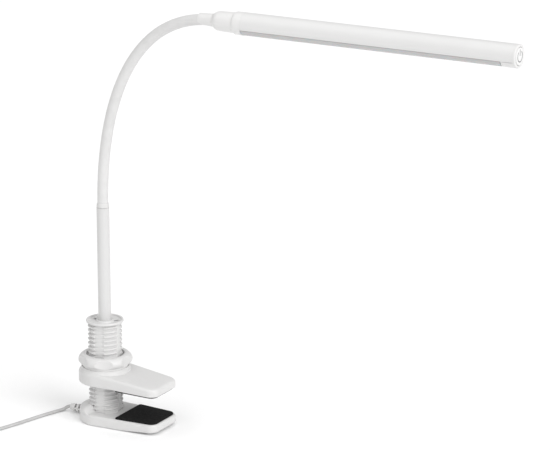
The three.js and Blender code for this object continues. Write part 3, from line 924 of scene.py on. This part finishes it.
def bore(body, tool):
    """Cuts a tool out of a body for good, and removes the tool."""
    cutter = body.modifiers.new("bore", "BOOLEAN")
    cutter.operation = "DIFFERENCE"
    cutter.solver = "EXACT"
    cutter.object = tool
    shaped = bpy.data.meshes.new_from_object(body.evaluated_get(bpy.context.evaluated_depsgraph_get()))
    body.modifiers.clear()
    body.data = shaped
    bpy.data.objects.remove(tool)


# ---- Stem and gooseneck ----------------------------------------------------------------------


def add_stem():
    inner = STEM_RADIUS - 1.2
    tube = lathe([(inner, 14), (STEM_RADIUS, 14), (STEM_RADIUS, STEM_TOP, 0.5), (inner, STEM_TOP)], 0.2)
    piece("stem_tube_painted", [tube], "white_steel", "base", ["stem_tube"])
    bush = lathe(
        [
            (3.2, STEM_TOP - 12),
            (inner - 0.1, STEM_TOP - 12),
            (inner - 0.1, STEM_TOP + 0.3, 0.1),
            (STEM_RADIUS - 0.05, STEM_TOP + 0.3, 0.3),
            (STEM_RADIUS - 0.05, STEM_TOP + 2.3, 1.2),
            (STEM_RADIUS - 0.75, STEM_TOP + 5, 0.3),
            (3.2, STEM_TOP + 5),
        ],
        0.2,
    )
    piece("stem_bush_body", [bush], "white_plastic", "base", ["stem_bush"])


def neck_table():
    """The gooseneck's centreline as (distance along it, point, tangent), in the XZ plane."""
    ends = [
        Vector((0, NECK_START)),
        Vector((0, NECK_START + NECK_RISE)),
        Vector((NECK_END_X - NECK_REACH, HEAD_HEIGHT)),
        Vector((NECK_END_X, HEAD_HEIGHT)),
    ]
    table = []
    travelled = 0
    before = ends[0]
    for k in range(1201):
        t = k / 1200
        u = 1 - t
        point = ends[0] * u**3 + ends[1] * 3 * u * u * t + ends[2] * 3 * u * t * t + ends[3] * t**3
        legs = [b - a for a, b in zip(ends, ends[1:])]
        slope = legs[0] * u * u + legs[1] * 2 * u * t + legs[2] * t * t
        travelled += (point - before).length
        before = point
        table.append((travelled, point, slope.normalized()))
    return table


NECK_TABLE = neck_table()


def neck_at(distance):
    return min(NECK_TABLE, key=lambda entry: abs(entry[0] - distance))[1:]


def neck_ring(distance, radius, sides=48):
    point, tangent = neck_at(distance)
    ring = []
    for k in range(sides):
        angle = 2 * math.pi * k / sides
        out = radius * math.cos(angle)
        ring.append((point[0] - tangent[1] * out, radius * math.sin(angle), point[1] + tangent[0] * out))
    return ring


def add_sheath():
    """The sheath in eight lengths, each round one pivot, between the middles of its links."""
    pivots = [FIRST_PIVOT + PIVOT_SPACING * k for k in range(PIVOT_COUNT)]
    middles = [pivot - PIVOT_SPACING / 2 for pivot in pivots[1:]]
    bounds = [NECK_SEEN[0], *middles, NECK_SEEN[1]]
    nodes = ["neck_root", *(f"neck_link_{k}" for k in range(1, PIVOT_COUNT))]
    for k in range(PIVOT_COUNT):
        start, end = bounds[k], bounds[k + 1]
        rings = [neck_ring(s, NECK_RADIUS) for s in steps_between(start, end, 1.5)]
        replaced = [nodes[k], "neck_tip"] if k == PIVOT_COUNT - 1 else [nodes[k]]
        sheath = piece(f"sheath_{k + 1}", [shell(rings)], "sheath", crease=60)
        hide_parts(*replaced)
        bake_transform(sheath)


# ---- Head ------------------------------------------------------------------------------------


def add_boot_and_cap():
    profile = [(5.5, 119), (5.9, 119, 0.2), (6.2, 128, 4), (6.7, 135.5), (5.5, 135.5)]
    piece("boot_body", [lathe(profile, 0.2, along_head)], "head_plastic", "head", ["head_boot"])
    sleeve = lathe(
        [
            (3, 135.2),
            (6.7, 135.2, 0.3),
            (9.3, 139, 1.5),
            (9.9, 142, 1.5),
            (10.5, REAR_CAP_START - 0.1, 0.1),
            (8.6, REAR_CAP_START - 0.1),
            (8.6, 166),
            (3, 166),
        ],
        0.3,
        along_head,
    )
    piece("sleeve_body", [sleeve], "head_plastic", "head", ["head_sleeve"])
    cap = lathe(
        [
            (8.9, REAR_CAP_START),
            (10.7, REAR_CAP_START, 0.2),
            (HEAD_RADIUS, REAR_CAP_START + 1.2, 0.6),
            (HEAD_RADIUS, TUBE_START - 0.1, 0.15),
            (8.9, TUBE_START - 0.1),
        ],
        0.2,
        along_head,
    )
    piece("rear_cap_body", [cap], "head_plastic", "head", ["rear_cap"])


def arc(radius, start, end, steps):
    angles = [math.radians(start + (end - start) * k / steps) for k in range(steps + 1)]
    return [(radius * math.cos(a), radius * math.sin(a)) for a in angles]


def extruded(section, start, end):
    """A section of (across, up) pairs about the head's axis, run along the head."""
    rings = []
    for x in (start, end):
        rings.append([(x, across, HEAD_HEIGHT + up) for across, up in section])
    return shell(rings)


def add_tube():
    lip = SLOT_ANGLE - 1.5
    outside = arc(HEAD_RADIUS, -lip, 180 + lip, 96)
    inside = arc(HEAD_INNER, 180 + lip, 180, 6)
    inside += arc(HEAD_INNER, 180, 0, 40)
    inside += arc(HEAD_INNER, 0, -lip, 6)
    section = tidy_loop(outside + inside)
    bar = [(-10.4, 1.2), (10.4, 1.2), (10.4, 2.6), (-10.4, 2.6)]
    shells = [extruded(section, TUBE_START, TUBE_END), extruded(bar, TUBE_START + 0.2, TUBE_END - 0.2)]
    piece("head_tube_painted", shells, "white_aluminium", "head", ["head_tube"])


def tidy_loop(points):
    """A loop without repeated points."""
    kept = []
    for point in points:
        if not kept or (Vector(point) - Vector(kept[-1])).length > 1e-4:
            kept.append(point)
    return kept


def lower_section(outer, inner, angle, steps=28):
    return arc(outer, 180 + angle, 360 - angle, steps) + arc(inner, 360 - angle, 180 + angle, steps)


def add_diffuser():
    section = lower_section(11.35, 10.1, SLOT_ANGLE + 1.5)
    shape = extruded(section, TUBE_START + 0.3, DIFFUSER_END)
    piece("diffuser_opal", [shape], "milky", "head", ["diffuser"])


def add_end_cap():
    rim = lathe(
        [
            (5.7, TUBE_END),
            (HEAD_RADIUS, TUBE_END, 0.1),
            (HEAD_RADIUS, 466.9, 0.5),
            (11, 467.5, 0.4),
            (9, 467.5, 0.3),
            (9, 465.7, 0.2),
            (5.7, 465.7, 0.1),
        ],
        0.2,
        along_head,
    )
    tongue = extruded(lower_section(11.5, 8.2, SLOT_ANGLE + 1), DIFFUSER_END + 0.7, TUBE_END + 0.5)
    piece("end_cap_body", [rim, tongue], "head_plastic", "head", ["end_cap"])


def add_button():
    face = lathe([(0.01, 466.6), (8.6, 466.6, 0.2), (8.6, 467.8, 0.4), (0.01, 467.8)], 0, along_head)
    stem = lathe([(0.01, 462.3), (0.9, 462.3), (0.9, 466.8), (0.01, 466.8)], 0.1, along_head, 24)
    piece("button_face", [face, stem], "white_gloss", "button", ["button"])
    stroke = 0.55
    bar = [(-stroke, 0.6), (stroke, 0.6), (stroke, 6.8), (-stroke, 6.8)]
    marks = [extruded(section, 467.7, 467.83) for section in (standby_ring(5.2, stroke), bar)]
    piece("standby_mark", marks, "mark_grey", "button")


def standby_ring(radius, stroke):
    """A broken ring, open at the top, as a closed outline."""
    return arc(radius + stroke, 125, 415, 60) + arc(radius - stroke, 415, 125, 60)


# ---- Lead fittings ---------------------------------------------------------------------------


def along_lead(x, y, z):
    """From a turned part's own axes to the strain relief's, which runs out along -X."""
    return (-z, x, LEAD_OUTLET_HEIGHT + y)


def rib(side, start, end, reach):
    """A rib from one grip to the next, at one side of the lead."""
    rings = []
    for x in (-start, -end):
        corners = [(1.9, -0.8), (reach, -0.8), (reach, 0.8), (1.9, 0.8)]
        rings.append([(x, side * y, LEAD_OUTLET_HEIGHT + z) for y, z in corners])
    return shell(rings)


def add_strain_relief():
    """A root in the jaw and three shrinking grips joined by side ribs, with the lead in the gaps."""
    inner = LEAD_DIAMETER / 2 + 0.05
    root, first, pitch, width = JAW_BACK_RADIUS - 4, JAW_BACK_RADIUS - 0.2, 5.1, 2.7
    profile = [(inner, root), (2.7, root), (2.7, first + 0.2), (inner, first + 0.2)]
    shells = [lathe(profile, 0.1, along_lead, 64)]
    for number in range(3):
        near = first + pitch * number
        far = near + width
        radius = 4.75 - 0.3 * number
        profile = [(inner, near), (radius, near, 0.4), (radius, far, 0.4)]
        if number < 2:
            profile.append((inner, far))
            shells += [rib(side, far - 0.3, near + pitch + 0.3, radius - 0.6) for side in (-1, 1)]
        else:
            profile += [(3.7, far + 0.1, 0.3), (3.1, far + 3.6, 0.4), (inner, far + 3.6)]
        shells.append(lathe(profile, 0.1, along_lead, 64))
    piece("strain_relief_body", shells, "white_plastic", "base", ["strain_relief"], 60)


def plug_place(x, y, z):
    """From the plug's own axes, which run along Y from its boot, to its place beside the coil."""
    turn = PLUG_HEADING - math.pi / 2
    return (
        PLUG_START[0] + x * math.cos(turn) - y * math.sin(turn),
        PLUG_START[1] + x * math.sin(turn) + y * math.cos(turn),
        PLUG_START[2] + z,
    )


def plug_ring(y, width, height, corner):
    """A rounded rectangle across the plug."""
    half_w, half_h = width / 2 - corner, height / 2 - corner
    ring = []
    for sx, sz, start in ((1, 1, 0), (-1, 1, 90), (-1, -1, 180), (1, -1, 270)):
        for k in range(9):
            angle = math.radians(start + 90 * k / 8)
            x = sx * half_w + corner * math.cos(angle)
            z = sz * half_h + corner * math.sin(angle)
            ring.append((x, y, z))
    return [plug_place(*point) for point in ring]


def add_plug():
    boot_stops = [(0, 2.0), (0.3, 2.25), (3, 2.5), (6.2, 2.9)]
    boot = [plug_ring(y, 2 * r, 2 * r, r - 0.02) for y, r in boot_stops]
    block = [plug_ring(5.5, 10.6, 6.6, 1.9)]
    block += [plug_ring(6, 11.6, 7.6, 2.0), plug_ring(6.8, 12, 8, 2.0), plug_ring(24.3, 12, 8, 2.0)]
    block += [plug_ring(25.1, 11.7, 7.7, 1.9), plug_ring(25.5, 11, 7, 1.8)]
    body = piece("plug_moulding", [shell(boot), shell(block)], "lead_jacket", "base", ["plug_body"])
    outside = [plug_ring(y, 11.2, 4.2, 0.5) for y in (24.5, 37.5)]
    inside = [plug_ring(y, 10.4, 3.4, 0.3) for y in (37.5, 25.6)]
    tongue = [plug_ring(y, 9.8, 1.8, 0.2) for y in (25, 36.8)]
    shells = [shell(outside + inside), shell(tongue)]
    metal = piece("plug_tongue_shell", shells, "steel", "base", ["plug_shell"])
    return [body, metal]


# ---- Studio ----------------------------------------------------------------------------------


def add_floor():
    mesh = bpy.data.meshes.new("floor")
    half = 9
    corners = [(-half, -half, 0), (half, -half, 0), (half, half, 0), (-half, half, 0)]
    mesh.from_pydata(corners, [], [(0, 1, 2, 3)])
    graph = Graph("floor_paper")
    graph.link(
        graph.ramp(graph.noise(3, 2), (0.3, grey(0.965)), (0.7, grey(0.985))),
        graph.shader.inputs["Base Color"],
    )
    graph.set(Roughness=0.9, Specular_IOR_Level=0.1)
    mesh.materials.append(graph.material)
    floor = bpy.data.objects.new("floor", mesh)
    bpy.context.scene.collection.objects.link(floor)


def add_sun(name, towards, strength, softness):
    """A broad, even studio light from the direction given."""
    light = bpy.data.lights.new(name, "SUN")
    light.energy = strength
    light.angle = math.radians(softness)
    made = bpy.data.objects.new(name, light)
    made.rotation_euler = Vector(towards).to_track_quat("Z", "Y").to_euler()
    bpy.context.scene.collection.objects.link(made)


def add_studio():
    add_floor()
    world = bpy.data.worlds.new("studio")
    world.use_nodes = True
    background = world.node_tree.nodes["Background"]
    background.inputs["Color"].default_value = (1, 1, 1, 1)
    background.inputs["Strength"].default_value = 0.48
    bpy.context.scene.world = world
    add_sun("key", (1, -0.3, 0.6), 1.5, 40)
    add_sun("top", (0, -0.2, 1), 1.1, 90)
    add_sun("front", (0, -1, 0.4), 0.25, 40)
    bpy.context.scene.view_settings.view_transform = "Standard"


# ---- The lamp --------------------------------------------------------------------------------

lead = add_lead()
add_lower_jaw()
add_lower_pad()
add_upper_jaw()
add_upper_pad()
add_thrust_ring()
add_post()
add_nut()
add_cap()
add_stem()
add_sheath()
add_boot_and_cap()
add_tube()
add_diffuser()
add_end_cap()
add_button()
add_strain_relief()
plug_pieces = add_plug()
add_studio()
